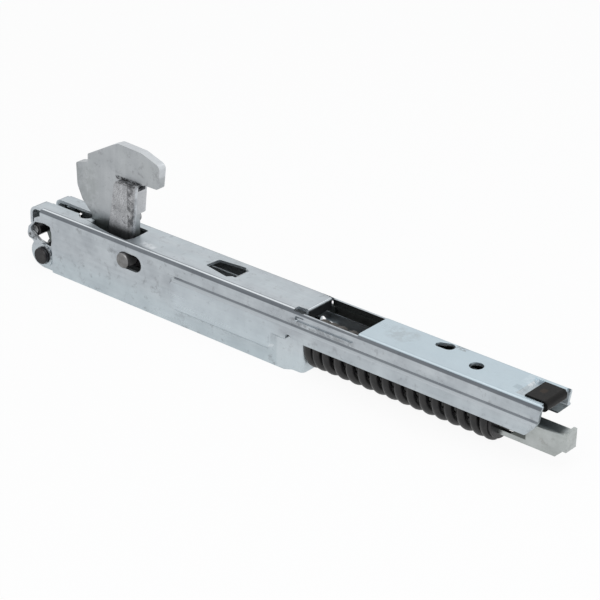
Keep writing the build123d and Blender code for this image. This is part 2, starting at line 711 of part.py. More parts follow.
def make_tie_rod():
    """Folded rod: two hooked lugs over the crank pin, a closed top and a deeper box end."""
    cheek_far = -ROD_LUG_OUTER_Y + ROD_SHEET
    strap_far = -ROD_STRAP_OUTER_Y + ROD_SHEET
    plan = outline(
        [
            (0, -ROD_LUG_OUTER_Y, 0),
            (JOGGLE_START, -ROD_LUG_OUTER_Y, 0),
            (JOGGLE_END, -ROD_STRAP_OUTER_Y, 0),
            (STRAP_RIGHT, -ROD_STRAP_OUTER_Y, 0),
            (STRAP_RIGHT, strap_far, 0),
            (JOGGLE_END, strap_far, 0),
            (JOGGLE_START, cheek_far, 0),
            (0, cheek_far, 0),
        ]
    )
    side = outline(ROD_OUTLINE)
    notch_top = PIVOT_Z + CRANK_RADIUS + ROD_PIN_RADIUS + SIDE_CLEARANCE
    notch_left = CRANK_X - LUG_NOTCH_WIDTH / 2
    notch_right = CRANK_X + LUG_NOTCH_WIDTH / 2
    side -= outline(
        [
            (notch_left, LUG_BOTTOM - 1, 0),
            (notch_right, LUG_BOTTOM - 1, 0),
            (notch_right, notch_top, LUG_NOTCH_CORNER),
            (notch_left, notch_top, LUG_NOTCH_CORNER),
        ]
    )
    rod = upward(plan, 0, CHANNEL_HEIGHT) & across(side, -ROD_LUG_OUTER_Y, 0)
    rod += mirror(rod, about=Plane.XZ)
    top = [
        (JOGGLE_START, -ROD_LUG_OUTER_Y, 0),
        (JOGGLE_END, -ROD_STRAP_OUTER_Y, 0),
        (STRAP_RIGHT, -ROD_STRAP_OUTER_Y, 0),
    ]
    top += [(x, -y, 0) for x, y, _ in reversed(top)]
    rod += upward(outline(top), ROD_TOP - ROD_SHEET, ROD_TOP)

    box = across(outline(BOX_OUTLINE), -ROD_BOX_OUTER_Y, ROD_BOX_OUTER_Y)
    bends = box.edges().filter_by(Axis.X).group_by(Axis.Z)[-1]
    box = fillet(bends, ROD_BEND)
    inside = ROD_BOX_OUTER_Y - ROD_SHEET
    ceiling = ROD_BOX_TOP - ROD_SHEET
    box -= block(ROD_BOX_LEFT, ROD_BOX_RIGHT, -inside, inside, ROD_BOX_BOTTOM, ceiling)
    rod += box
    cutaway = outline(
        [
            (ROD_BOX_LEFT, BOX_STRIP_TOP, 0),
            (BOX_RAMP_LEFT, BOX_STRIP_TOP, 0),
            (BOX_RAMP_RIGHT, BOX_RAMP_TOP, 0),
            (BOX_RAMP_RIGHT, ROD_TOP - ROD_SHEET, 0),
            (ROD_BOX_LEFT, ROD_TOP - ROD_SHEET, 0),
        ]
    )
    rod -= across(cutaway, -ROD_BOX_OUTER_Y, -ROD_STRAP_OUTER_Y + ROD_SHEET)
    flap_y = ROD_BOX_OUTER_Y
    rod += block(ROD_BOX_RIGHT, ROD_FLAP_RIGHT, -flap_y, flap_y, ROD_FLAP_BOTTOM, ROD_FLAP_TOP)
    return rod


def make_spring_seat():
    """Round plate between the main spring and the shoulders of the rod's box end."""
    plate = Pos(0, ROD_AXIS_Z) * Circle(PLATE_RADIUS)
    slot_half_y = ROD_STRAP_OUTER_Y + SIDE_CLEARANCE
    slot_height = ROD_TOP - ROD_BOTTOM + 2 * SIDE_CLEARANCE
    plate -= Pos(0, ROD_AXIS_Z) * Rectangle(2 * slot_half_y, slot_height)
    return along(plate, PLATE_LEFT, PLATE_LEFT + PLATE_THICKNESS)


def make_detent_slider():
    """Fork on the detent pin with a bridge and the stem that guides the detent spring."""
    fork = Pos(DETENT_X, DETENT_Z) * Circle(SLIDER_EAR_RADIUS)
    middle = (DETENT_X + BRIDGE_RIGHT) / 2
    arm = Rectangle(BRIDGE_RIGHT - DETENT_X, 2 * BRIDGE_HALF_HEIGHT)
    fork += Pos(middle, DETENT_Z) * arm
    slider = both_sides(across(fork, -SLIDER_OUTER_Y, -SLIDER_INNER_Y))
    low = DETENT_Z - BRIDGE_HALF_HEIGHT
    high = DETENT_Z + BRIDGE_HALF_HEIGHT
    slider += block(BRIDGE_LEFT, BRIDGE_RIGHT, -SLIDER_OUTER_Y, SLIDER_OUTER_Y, low, high)
    slider += along(Pos(0, DETENT_Z) * Circle(STEM_RADIUS), BRIDGE_RIGHT, STEM_RIGHT)
    collar = Pos(0, DETENT_Z) * Circle(STEM_COLLAR_RADIUS)
    slider += along(collar, STEM_COLLAR_LEFT, STEM_COLLAR_RIGHT)
    return slider - disc(DETENT_X, DETENT_Z, DETENT_RADIUS + FIT_CLEARANCE, -WALL_CUT_Y, WALL_CUT_Y)


def make_pin(x, z, radius, half_length, break_edge):
    """Plain pin across the hinge with broken edges."""
    pin = disc(x, z, radius, -half_length, half_length)
    return chamfer(pin.edges().filter_by(GeomType.CIRCLE), break_edge)


def make_lever_rivet():
    """Rivet of the lock lever: flush in the near cheek, with its head on the arm's far face."""
    seat_y = ARM_HALF_THICKNESS + FIT_CLEARANCE
    near_y = -LEVER_OUTER_Y + END_CLEARANCE
    rivet = disc(LEVER_PIVOT_X, LEVER_PIVOT_Z, LEVER_RIVET_RADIUS, near_y, seat_y)
    head_y = seat_y + LEVER_RIVET_HEAD
    return rivet + disc(LEVER_PIVOT_X, LEVER_PIVOT_Z, LEVER_RIVET_HEAD_RADIUS, seat_y, head_y)


def make_rod_pin():
    """Crank pin of the hook arm with a flat head outside each rod lug."""
    head_y = ROD_LUG_OUTER_Y + SIDE_CLEARANCE
    end_y = head_y + ROD_PIN_HEAD
    pin = disc(CRANK_X, CRANK_Z, ROD_PIN_RADIUS, -end_y, end_y)
    return pin + both_sides(disc(CRANK_X, CRANK_Z, ROD_PIN_HEAD_RADIUS, -end_y, -head_y))


spacer_outer_y = RECESS_INNER_Y - 0.02
spacer_bore = PIVOT_RADIUS + FIT_CLEARANCE
sleeve_bore = STOP_RADIUS + FIT_CLEARANCE
sleeve_near = ARM_HALF_THICKNESS + SIDE_CLEARANCE
sleeve_far = sleeve_near + SLEEVE_LENGTH

nodes = {
    "channel": make_channel(),
    "end_cap": make_end_cap(),
    "pivot_rivet": make_pivot_rivet(),
    "spacer_near": tube(
        0, PIVOT_Z, SPACER_RADIUS, spacer_bore, -spacer_outer_y, -SPACER_INNER_Y
    ),
    "spacer_far": tube(0, PIVOT_Z, SPACER_RADIUS, spacer_bore, SPACER_INNER_Y, spacer_outer_y),
    "main_spring": coil(
        HOUSING_END + END_CLEARANCE,
        PLATE_LEFT - END_CLEARANCE,
        COIL_DIAMETER,
        WIRE,
        PITCH,
        ROD_AXIS_Z,
        COIL_STEPS,
        COIL_SIDES,
    ),
    "detent_spring": coil(
        STEM_COLLAR_RIGHT + END_CLEARANCE,
        TAB_X - END_CLEARANCE,
        SMALL_COIL_DIAMETER,
        SMALL_WIRE,
        SMALL_PITCH,
        DETENT_Z,
        SMALL_STEPS,
        SMALL_SIDES,
    ),
    "hook_arm": make_hook_arm(),
    "arm_bush": tube(
        0,
        PIVOT_Z,
        BUSH_RADIUS,
        PIVOT_RADIUS + RUN_CLEARANCE,
        -BUSH_HALF_LENGTH,
        BUSH_HALF_LENGTH,
    ),
    "stop_pin": disc(STOP_X, STOP_Z, STOP_RADIUS, -STOP_HALF_LENGTH, STOP_HALF_LENGTH),
    "stop_sleeve_near": tube(
        STOP_X, STOP_Z, SLEEVE_RADIUS, sleeve_bore, -sleeve_far, -sleeve_near
    ),
    "stop_sleeve_far": tube(STOP_X, STOP_Z, SLEEVE_RADIUS, sleeve_bore, sleeve_near, sleeve_far),
    "rod_pin": make_rod_pin(),
    "lever_rivet": make_lever_rivet(),
    "lock_lever": make_lock_lever(),
    "tie_rod": make_tie_rod(),
    "spring_seat": make_spring_seat(),
    "detent_pin": make_pin(DETENT_X, DETENT_Z, DETENT_RADIUS, DETENT_HALF_LENGTH, DETENT_CHAMFER),
    "detent_slider": make_detent_slider(),
}

left_tip = STOP_X - STOP_EAR_RADIUS
centre_x = (left_tip + ROD_FLAP_RIGHT) / 2
for name, solid in nodes.items():
    export_step(Pos(-centre_x, 0, 0) * solid, f"parts/{name}.step")
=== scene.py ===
"""Looks of an oven door hinge: folded channel, hook arm, lock lever, springs and tie rod.

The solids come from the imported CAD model. Each class below dresses or winds the pieces of one
sub-assembly. Sizes and places are in millimetres unless a name or a docstring says metres. X
counts from the main pivot towards the end cap, Y from the middle towards the far wall, and Z up
from the housing's bottom edge.
"""

import logging
import math
from dataclasses import dataclass, field
from enum import Enum
from typing import ClassVar

import bmesh
import bpy
from mathutils import Matrix, Vector

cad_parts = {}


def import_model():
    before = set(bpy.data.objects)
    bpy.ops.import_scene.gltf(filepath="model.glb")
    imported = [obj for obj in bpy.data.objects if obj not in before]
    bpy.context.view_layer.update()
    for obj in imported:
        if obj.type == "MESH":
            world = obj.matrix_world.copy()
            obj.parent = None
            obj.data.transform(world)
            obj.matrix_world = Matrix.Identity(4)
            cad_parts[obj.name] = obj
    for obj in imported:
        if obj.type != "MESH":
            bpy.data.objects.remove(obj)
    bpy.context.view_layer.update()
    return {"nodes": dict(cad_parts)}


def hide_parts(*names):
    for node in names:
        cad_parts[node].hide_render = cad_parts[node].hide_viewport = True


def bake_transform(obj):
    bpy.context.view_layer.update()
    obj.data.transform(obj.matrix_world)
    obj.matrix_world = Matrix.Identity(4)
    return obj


log = logging.getLogger("hinge")

MM = 0.001
# How far the frame's origin lies from the main pivot along X
CENTRE_X = 114.7

Colour = tuple[float, float, float]
# Lower limit, upper limit and width of the fade beyond them
Span = tuple[float, float, float]
Socket = bpy.types.NodeSocket

# Heights of the web's outer face, of a flank's lower half and of the web beside the cap
WEB_FACE: Span = (24.9, 25.2, 0.1)
FLANK_LOWER_HALF: Span = (17.9, 18.6, 0.2)
BESIDE_CAP: Span = (23.0, 25.2, 0.1)


def place(x: float, y: float, z: float) -> Vector:
    """Point of the shared frame from places in millimetres.

    Args:
        x: Distance along the hinge from the pivot.
        y: Distance across, towards the far wall.
        z: Height above the housing's bottom edge.

    Returns:
        The point in metres.
    """
    return Vector(((x - CENTRE_X) * MM, y * MM, z * MM))


class Grain(Enum):
    """Direction in which a surface's fine marks run."""

    ALONG = (0.06, 1.0, 1.0)
    UPRIGHT = (1.0, 1.0, 0.06)
    EVEN = (1.0, 1.0, 1.0)


class Shader:
    """One material's node tree, built step by step around a principled shader."""

    def __init__(self, name: str) -> None:
        """Start an empty material.

        Args:
            name: Name of the material.
        """
        self.material = bpy.data.materials.new(name)
        self.material.use_nodes = True
        self.nodes = self.material.node_tree.nodes
        self.links = self.material.node_tree.links
        self.nodes.clear()
        output = self.nodes.new("ShaderNodeOutputMaterial")
        self.surface = self.nodes.new("ShaderNodeBsdfPrincipled")
        self.links.new(self.surface.outputs["BSDF"], output.inputs["Surface"])
        self.coordinates = self.nodes.new("ShaderNodeTexCoord")
        self.split: dict[str, bpy.types.Node] = {}

    def component(self, output: str, name: str) -> Socket:
        """One component of a coordinate output.

        Args:
            output: Name of the coordinate node's output.
            name: X, Y or Z.

        Returns:
            Socket with the component.
        """
        if output not in self.split:
            node = self.nodes.new("ShaderNodeSeparateXYZ")
            self.links.new(self.coordinates.outputs[output], node.inputs[0])
            self.split[output] = node
        return self.split[output].outputs[name]

    def facing(self, name: str) -> Socket:
        """Component of the surface's direction along an axis."""
        return self.component("Normal", name)

    def position(self, name: str) -> Socket:
        """Place along an axis in millimetres from the main pivot.

        Args:
            name: X, Y or Z.

        Returns:
            Socket with the place.
        """
        scaled = self.combine("MULTIPLY", self.component("Object", name), 1.0 / MM)
        return self.combine("ADD", scaled, CENTRE_X) if name == "X" else scaled

    def noise(
        self, size: float, grain: Grain = Grain.EVEN, detail: float = 4.0, rough: float = 0.55
    ) -> Socket:
        """Noise with blotches of one size.

        Args:
            size: Size of one blotch in millimetres.
            grain: Direction in which blotches are drawn out.
            detail: Number of finer layers.
            rough: Strength of the finer layers.

        Returns:
            Socket with a value near 0.5.
        """
        mapping = self.nodes.new("ShaderNodeMapping")
        mapping.inputs["Scale"].default_value = grain.value
        self.links.new(self.coordinates.outputs["Object"], mapping.inputs["Vector"])
        node = self.nodes.new("ShaderNodeTexNoise")
        node.inputs["Scale"].default_value = 1.0 / (size * MM)
        node.inputs["Detail"].default_value = detail
        node.inputs["Roughness"].default_value = rough
        self.links.new(mapping.outputs["Vector"], node.inputs["Vector"])
        return node.outputs["Fac"]

    def spread(
        self, value: Socket, low: float, high: float, to_low: float = 0.0, to_high: float = 1.0
    ) -> Socket:
        """Remap a value between two limits.

        Args:
            value: Value to remap.
            low: Value that becomes to_low.
            high: Value that becomes to_high.
            to_low: Lower result.
            to_high: Upper result.

        Returns:
            Socket with the remapped value, clamped.
        """
        node = self.nodes.new("ShaderNodeMapRange")
        node.inputs["From Min"].default_value = low
        node.inputs["From Max"].default_value = high
        node.inputs["To Min"].default_value = to_low
        node.inputs["To Max"].default_value = to_high
        self.links.new(value, node.inputs["Value"])
        return node.outputs["Result"]

    def between(self, value: Socket, span: Span) -> Socket:
        """Mask that is 1 between two limits and fades out beyond them.

        Args:
            value: Value to test.
            span: Lower limit, upper limit and width of the fade.

        Returns:
            Socket with the mask.
        """
        low, high, fade = span
        rise = self.spread(value, low - fade, low)
        fall = self.spread(value, high, high + fade, 1.0, 0.0)
        return self.combine("MULTIPLY", rise, fall)

    def combine(self, operation: str, first: Socket, second: Socket | float) -> Socket:
        """Join two values with a math operation.

        Args:
            operation: Name of Blender's math operation.
            first: First value.
            second: Second value or number.

        Returns:
            Socket with the result.
        """
        node = self.nodes.new("ShaderNodeMath")
        node.operation = operation
        self.links.new(first, node.inputs[0])
        if isinstance(second, float):
            node.inputs[1].default_value = second
        else:
            self.links.new(second, node.inputs[1])
        return node.outputs[0]

    def blend(
        self, label: str, share: Socket, first: Socket | Colour, second: Socket | Colour
    ) -> Socket:
        """Mix two colours.

        Args:
            label: What the second colour stands for.
            share: Share of the second colour.
            first: Colour at 0.
            second: Colour at 1.

        Returns:
            Socket with the mixed colour.
        """
        node = self.nodes.new("ShaderNodeMix")
        node.data_type = "RGBA"
        node.label = label
        self.links.new(share, node.inputs["Factor"])
        for socket, colour in ((node.inputs[6], first), (node.inputs[7], second)):
            if isinstance(colour, tuple):
                socket.default_value = (*colour, 1.0)
            else:
                self.links.new(colour, socket)
        return node.outputs[2]

    def finish(self, colour: Socket, roughness: Socket, height: Socket, depth: float) -> None:
        """Connect colour, roughness and bumps to the surface.

        Args:
            colour: Base colour.
            roughness: Roughness.
            height: Height of the bumps from 0 to 1.
            depth: Height in millimetres where that value is 1.
        """
        self.links.new(colour, self.surface.inputs["Base Color"])
        self.links.new(roughness, self.surface.inputs["Roughness"])
        bump = self.nodes.new("ShaderNodeBump")
        bump.inputs["Strength"].default_value = 1.0
        bump.inputs["Distance"].default_value = depth * MM
        self.links.new(height, bump.inputs["Height"])
        self.links.new(bump.outputs["Normal"], self.surface.inputs["Normal"])


@dataclass(frozen=True)
class Blotches:
    """Spots of one size, spread over the surface where their noise passes two limits."""

    size: float
    low: float
    high: float
    detail: float = 4.0
    rough: float = 0.55

    def mask(
        self, shader: Shader, grain: Grain = Grain.EVEN, least: float = 0.0, most: float = 1.0
    ) -> Socket:
        """Value that goes from least between the spots to most on them.

        Args:
            shader: Material under construction.
            grain: Direction in which the spots are drawn out.
            least: Value between the spots.
            most: Value on the spots.

        Returns:
            Socket with the value.
        """
        noise = shader.noise(self.size, grain, self.detail, self.rough)
        return shader.spread(noise, self.low, self.high, least, most)


@dataclass(frozen=True)
class Patch:
    """Block of a part that has another colour, such as a stain or painted shade on an inside.

    The spans limit the block along the axes. Where ragged isn't 0, blotches of that size break
    the patch up.
    """

    DETAIL: ClassVar[float] = 6.0
    ROUGH: ClassVar[float] = 0.7

    label: str
    colour: Colour
    share: float
    x: Span | None = None
    y: Span | None = None
    z: Span | None = None
    ragged: float = 0.0

    def lay(self, shader: Shader, base: Socket) -> Socket:
        """Lay the patch over a colour.

        Args:
            shader: Material under construction.
            base: Colour so far.

        Returns:
            The changed colour.
        """
        mask = None
        for name, span in (("X", self.x), ("Y", self.y), ("Z", self.z)):
            if span:
                side = shader.between(shader.position(name), span)
                mask = side if mask is None else shader.combine("MULTIPLY", mask, side)
        mask = shader.combine("MULTIPLY", mask, self.share)
        if self.ragged:
            torn = Blotches(self.ragged, 0.4, 0.56, self.DETAIL, self.ROUGH)
            mask = shader.combine("MULTIPLY", mask, torn.mask(shader))
        return shader.blend(self.label, mask, base, self.colour)


@dataclass(frozen=True)
class ZincFinish:
    """Zinc plating on folded sheet: clouded grey with marks, painted dark reflections on bends and
    upward slopes, and painted highlights on bend shoulders and downward faces.
    """

    METALLIC: ClassVar[float] = 0.88
    CLOUDS: ClassVar[Blotches] = Blotches(11.0, 0.36, 0.64, 6.0, 0.62)
    STREAKS: ClassVar[Blotches] = Blotches(1.4, 0.3, 0.7)
    STREAK_SHARE: ClassVar[float] = 0.5
    CLOUD_SHARE: ClassVar[float] = 0.67
    TINTED: ClassVar[Blotches] = Blotches(26.0, 0.42, 0.62, 3.0)
    TINT_SHARE: ClassVar[float] = 0.5
    DOTS: ClassVar[Blotches] = Blotches(0.5, 0.45, 0.62, 5.0, 0.75)
    STAINS: ClassVar[Blotches] = Blotches(3.4, 0.56, 0.7, 8.0, 0.72)
    NICKS: ClassVar[Blotches] = Blotches(0.9, 0.68, 0.76, 3.0, 0.8)
    STAIN_SHARE: ClassVar[float] = 0.6
    RUBBED: ClassVar[Blotches] = Blotches(1.3, 0.66, 0.74, 6.0, 0.8)
    RUBBED_SHARE: ClassVar[float] = 0.5
    SHEEN: ClassVar[Blotches] = Blotches(4.0, 0.3, 0.7, 5.0)
    GRIT_SIZE: ClassVar[float] = 0.24
    LINE_SIZE: ClassVar[float] = 1.0
    FINE_DETAIL: ClassVar[float] = 3.0
    WAVE_SIZE: ClassVar[float] = 7.0
    WAVE_DETAIL: ClassVar[float] = 2.0
    DEPTH: ClassVar[float] = 0.012
    SPECKLE_DEPTH: ClassVar[float] = 0.03

    # Ranges of the surface's direction where the painted shade and painted highlights of the bends
    # fall
    ACROSS: ClassVar[Span] = (0.2, 0.97, 0.05)
    UPWARD: ClassVar[Span] = (0.3, 0.8, 0.12)
    SHADE_BREAKUP: ClassVar[Blotches] = Blotches(5.0, 0.3, 0.7)
    LEAST_SHADE_BREAKUP: ClassVar[float] = 0.75
    BEND_START: ClassVar[Span] = (0.975, 0.993, 0.006)
    BEND_START_SHARE: ClassVar[float] = 0.7
    BEND_SHOULDER: ClassVar[Span] = (0.87, 0.95, 0.03)
    AWAY: ClassVar[Span] = (-0.9, -0.3, 0.1)
    AWAY_SHARE: ClassVar[float] = 0.4
    PAINTED_BEND_SHADE: ClassVar[Colour] = (0.075, 0.085, 0.1)
    RUBBED_AND_HIGHLIGHT_COLOUR: ClassVar[Colour] = (0.8, 0.84, 0.87)

    name: str
    light: Colour
    dark: Colour
    stain: Colour
    tint: Colour
    gloss_low: float = 0.26
    gloss_high: float = 0.44
    grain: Grain = Grain.ALONG
    speckle: float = 0.0
    # Strength of the painted shade and painted highlights on bends and slopes
    bend: float = 0.0
    patches: tuple[Patch, ...] = ()

    def add_clouds(self, shader: Shader) -> Socket:
        """Make the clouded and tinted ground colour.

        Args:
            shader: Material under construction.

        Returns:
            The colour.
        """
        cloud = self.CLOUDS.mask(shader)
        streak = self.STREAKS.mask(shader, self.grain, most=self.STREAK_SHARE)
        mixed = shader.combine("ADD", cloud, streak)
        mixed = shader.combine("MULTIPLY", mixed, self.CLOUD_SHARE)
        base = shader.blend("clouds", mixed, self.dark, self.light)
        tint = self.TINTED.mask(shader, self.grain, most=self.TINT_SHARE)
        base = shader.blend("tint", tint, base, self.tint)
        if self.speckle:
            dots = self.DOTS.mask(shader, most=self.speckle)
            base = shader.blend("dots", dots, base, self.dark)
        return base

    def add_marks(self, shader: Shader, base: Socket) -> Socket:
        """Add stains, fine dark scratches and rubbed spots.

        Args:
            shader: Material under construction.
            base: Colour so far.

        Returns:
            The changed colour.
        """
        stain = self.STAINS.mask(shader, most=self.STAIN_SHARE)
        base = shader.blend("stains", stain, base, self.stain)
        nick = self.NICKS.mask(shader, self.grain, most=self.STAIN_SHARE)
        base = shader.blend("scratches", nick, base, self.stain)
        # Rubbed spots share their light colour with the painted highlights of the bends
        rubbed = self.RUBBED.mask(shader, most=self.RUBBED_SHARE)
        return shader.blend("rubbed spots", rubbed, base, self.RUBBED_AND_HIGHLIGHT_COLOUR)

    def add_bends(self, shader: Shader, base: Socket) -> Socket:
        """Paint dark reflections on surfaces that slope up and paint light on those that slope down
        or to the hook.

        Args:
            shader: Material under construction.
            base: Colour so far.

        Returns:
            The changed colour.
        """
        # Painted dark reflection on surfaces that slope up, broken up by blotches
        side = shader.combine("ABSOLUTE", shader.facing("Y"), 0.0)
        across = shader.between(side, self.ACROSS)
        upward = shader.between(shader.facing("Z"), self.UPWARD)
        shade_breakup = self.SHADE_BREAKUP.mask(shader, Grain.ALONG, least=self.LEAST_SHADE_BREAKUP)
        share = shader.combine("MULTIPLY", across, upward)
        share = shader.combine("MULTIPLY", share, shade_breakup)
        share = shader.combine("MULTIPLY", share, self.bend)
        base = shader.blend("slopes", share, base, self.PAINTED_BEND_SHADE)
        # Painted thin dark line where a bend starts
        start = shader.between(shader.facing("Z"), self.BEND_START)
        start = shader.combine("MULTIPLY", start, self.BEND_START_SHARE)
        base = shader.blend("start of a bend", start, base, self.PAINTED_BEND_SHADE)
        # Painted highlight on the shoulder of a bend
        shoulder = shader.between(shader.facing("Z"), self.BEND_SHOULDER)
        shoulder = shader.combine("MULTIPLY", shoulder, self.bend)
        base = shader.blend("shoulder of a bend", shoulder, base, self.RUBBED_AND_HIGHLIGHT_COLOUR)
        # Painted light on surfaces that face down or towards the hook
        low = shader.between(shader.facing("Z"), self.AWAY)
        left = shader.between(shader.facing("X"), self.AWAY)
        away = shader.combine("MULTIPLY", shader.combine("MAXIMUM", low, left), across)
        away = shader.combine("MULTIPLY", away, self.AWAY_SHARE)
        return shader.blend("lower slopes", away, base, self.RUBBED_AND_HIGHLIGHT_COLOUR)

    def build(self) -> bpy.types.Material:
        """Make the material.

        Returns:
            The finished material.
        """
        shader = Shader(self.name)
        shader.surface.inputs["Metallic"].default_value = self.METALLIC
        base = self.add_marks(shader, self.add_clouds(shader))
        # Painted shade and painted highlights on bends and slopes
        if self.bend:
            base = self.add_bends(shader, base)
        for patch in self.patches:
            base = patch.lay(shader, base)
        sheen = self.SHEEN.mask(shader, self.grain, self.gloss_low, self.gloss_high)
        grit = shader.noise(self.GRIT_SIZE, detail=self.FINE_DETAIL)
        lines = shader.noise(self.LINE_SIZE, self.grain, self.FINE_DETAIL)
        waves = shader.noise(self.WAVE_SIZE, detail=self.WAVE_DETAIL)
        height = shader.combine("ADD", shader.combine("ADD", grit, lines), waves)
        shader.finish(base, sheen, height, self.DEPTH + self.SPECKLE_DEPTH * self.speckle)
        return shader.material


@dataclass(frozen=True)
class DarkFinish:
    """Coated spring wire, black plastic, turned pins or greased steel, with soft highlights."""

    WORN: ClassVar[Blotches] = Blotches(2.5, 0.45, 0.75, 5.0, 0.65)
    GRAIN_SIZE: ClassVar[float] = 0.6
    GRAIN_DETAIL: ClassVar[float] = 3.0
    GLOSS: ClassVar[tuple[float, float]] = (0.3, 0.7)
    GLOSS_SPREAD: ClassVar[tuple[float, float]] = (0.85, 1.2)
    DEPTH: ClassVar[float] = 0.01

    name: str
    colour: Colour
    worn: Colour
    metallic: float = 0.0
    gloss: float = 0.4
    specular: float = 0.5
    patches: tuple[Patch, ...] = ()

    def build(self) -> bpy.types.Material:
        """Make the material.

        Returns:
            The finished material.
        """
        shader = Shader(self.name)
        shader.surface.inputs["Metallic"].default_value = self.metallic
        shader.surface.inputs["Specular IOR Level"].default_value = self.specular
        base = shader.blend("worn spots", self.WORN.mask(shader), self.colour, self.worn)
        for patch in self.patches:
            base = patch.lay(shader, base)
        grain = shader.noise(self.GRAIN_SIZE, detail=self.GRAIN_DETAIL)
        smooth, rough = self.GLOSS_SPREAD
        roughness = shader.spread(grain, *self.GLOSS, self.gloss * smooth, self.gloss * rough)
        shader.finish(base, roughness, grain, self.DEPTH)
        return shader.material


class Finishes:
    """All finishes of the hinge, made once and shared."""

    def __init__(self) -> None:
        """Build every material."""
        self.sheet = self.make_sheet()
        self.arm = self.make_arm()
        self.lever = self.make_lever()
        self.rod = self.make_rod()
        self.spring = self.make_spring()
        self.cap = self.make_cap()
        self.bright_spring = DarkFinish(
            "oiled_spring", (0.3, 0.3, 0.3), (0.1, 0.1, 0.095), metallic=0.9, gloss=0.25
        ).build()
        self.pin = DarkFinish(
            "turned_pin", (0.22, 0.22, 0.22), (0.13, 0.125, 0.12), metallic=0.85
        ).build()
        self.dark = DarkFinish(
            "greased_pin", (0.009, 0.008, 0.01), (0.03, 0.028, 0.028), metallic=0.3, gloss=0.3
        ).build()

    def shade_insides(self) -> tuple[Patch, ...]:
        """Painted shade on the channel's inside faces.

        Returns:
            The patches, the lowest first.
        """
        # Painted shade on the far wall's inside, the pressed-in end, the fold at the large window
        # and the housing's inside
        return (
            Patch(
                "inside of the rail's far wall",
                (0.035, 0.04, 0.038),
                0.95,
                x=(121.0, 216.0, 1.0),
                y=(6.6, 8.2, 0.1),
                z=(14.2, 24.1, 0.1),
            ),
            Patch(
                "inside of the far wall's pressed-in end",
                (0.09, 0.1, 0.1),
                0.9,
                x=(-9.0, 6.0, 0.4),
                y=(5.8, 7.3, 0.1),
                z=(0.0, 24.1, 0.1),
            ),
            Patch(
                "fold at the large window",
                (0.05, 0.055, 0.06),
                0.95,
                x=(130.7, 131.3, 0.1),
                y=(-5.7, 7.2, 0.1),
                z=(20.0, 23.9, 0.4),
            ),
            Patch(
                "inside of the housing",
                (0.04, 0.045, 0.045),
                0.95,
                x=(2.0, 121.0, 1.0),
                y=(-7.9, 7.9, 0.2),
                z=(0.0, 23.9, 0.1),
            ),
        )

    def mark_web(self) -> tuple[Patch, ...]:
        """Tone of the housing's web, painted shade over the bead, a painted highlight beside the
        hook slot, and a painted highlight and painted shade beside the cap.

        Returns:
            The patches, the lowest first.
        """
        return (
            # Painted shade on the bead's crease
            Patch(
                "painted shade over the bead",
                (0.17, 0.18, 0.19),
                0.55,
                x=(126.0, 152.0, 3.0),
                y=(-9.3, -9.0, 0.2),
                z=(19.6, 21.6, 0.5),
                ragged=2.0,
            ),
            Patch(
                "housing's web",
                (0.48, 0.51, 0.54),
                0.2,
                x=(-9.0, 126.0, 1.0),
                z=(24.8, 25.2, 0.1),
            ),
            # Painted highlight on the web beside the cap
            Patch(
                "bright spot beside the cap",
                (0.9, 0.93, 0.95),
                0.5,
                x=(216.2, 219.8, 0.4),
                y=(1.6, 7.4, 0.5),
                z=BESIDE_CAP,
                ragged=1.2,
            ),
            # Painted shade at the step beside the cap
            Patch(
                "painted shade beside the cap",
                (0.03, 0.03, 0.03),
                0.8,
                x=(216.6, 218.6, 0.5),
                y=(-3.6, -1.4, 0.4),
                z=BESIDE_CAP,
            ),
            # Painted highlight on a small dent beside the hook slot
            Patch(
                "painted highlight beside the hook slot",
                (0.9, 0.92, 0.94),
                0.35,
                x=(50.0, 56.0, 1.0),
                y=(-6.2, -3.6, 0.4),
                z=WEB_FACE,
                ragged=2.6,
            ),
        )

    def shade_outsides(self) -> tuple[Patch, ...]:
        """Tones of the channel's raised panels, folded end and rail, and painted shade on the
        flanks' lower halves.

        Returns:
            The patches, the lowest first.
        """
        flank = (0.5, 0.54, 0.57)
        return (
            Patch(
                "raised panel",
                (0.62, 0.7, 0.75),
                0.3,
                x=(72.0, 117.0, 5.0),
                y=(-10.6, -10.3, 0.05),
                z=(-1.0, 17.0, 1.0),
            ),
            # Painted shade on the lower half of each wall's flank
            Patch("near flank", flank, 0.7, y=(-10.5, -9.3, 0.05), z=FLANK_LOWER_HALF),
            Patch("far flank", flank, 0.7, y=(9.3, 10.5, 0.05), z=FLANK_LOWER_HALF),
            Patch(
                "folded end of the housing",
                (0.68, 0.73, 0.76),
                0.3,
                x=(120.0, 132.0, 1.0),
                z=(-1.0, 13.0, 1.0),
            ),
            Patch("rail's web", (0.5, 0.6, 0.66), 0.75, x=(152.0, 232.0, 9.0), z=(24.6, 25.2, 0.1)),
        )

    def mark_ends(self) -> tuple[Patch, ...]:
        """Marks on the rail's web and at the window in the pressed-in end.

        Returns:
            The patches, the lowest first.
        """
        return (
            Patch(
                "smudge on the rail",
                (0.3, 0.32, 0.33),
                0.35,
                x=(163.0, 171.0, 3.0),
                y=(-2.0, 5.0, 2.0),
                z=WEB_FACE,
                ragged=3.0,
            ),
            Patch(
                "dark nick beside the keyhole",
                (0.15, 0.15, 0.15),
                0.6,
                x=(186.5, 190.0, 1.0),
                y=(5.8, 8.0, 0.5),
                z=WEB_FACE,
                ragged=0.8,
            ),
            Patch(
                "dark nick at the window in the end",
                (0.03, 0.03, 0.03),
                0.9,
                x=(-8.0, -4.0, 0.4),
                y=(-9.4, -8.0, 0.4),
                z=(10.8, 12.8, 0.4),
                ragged=0.9,
            ),
        )

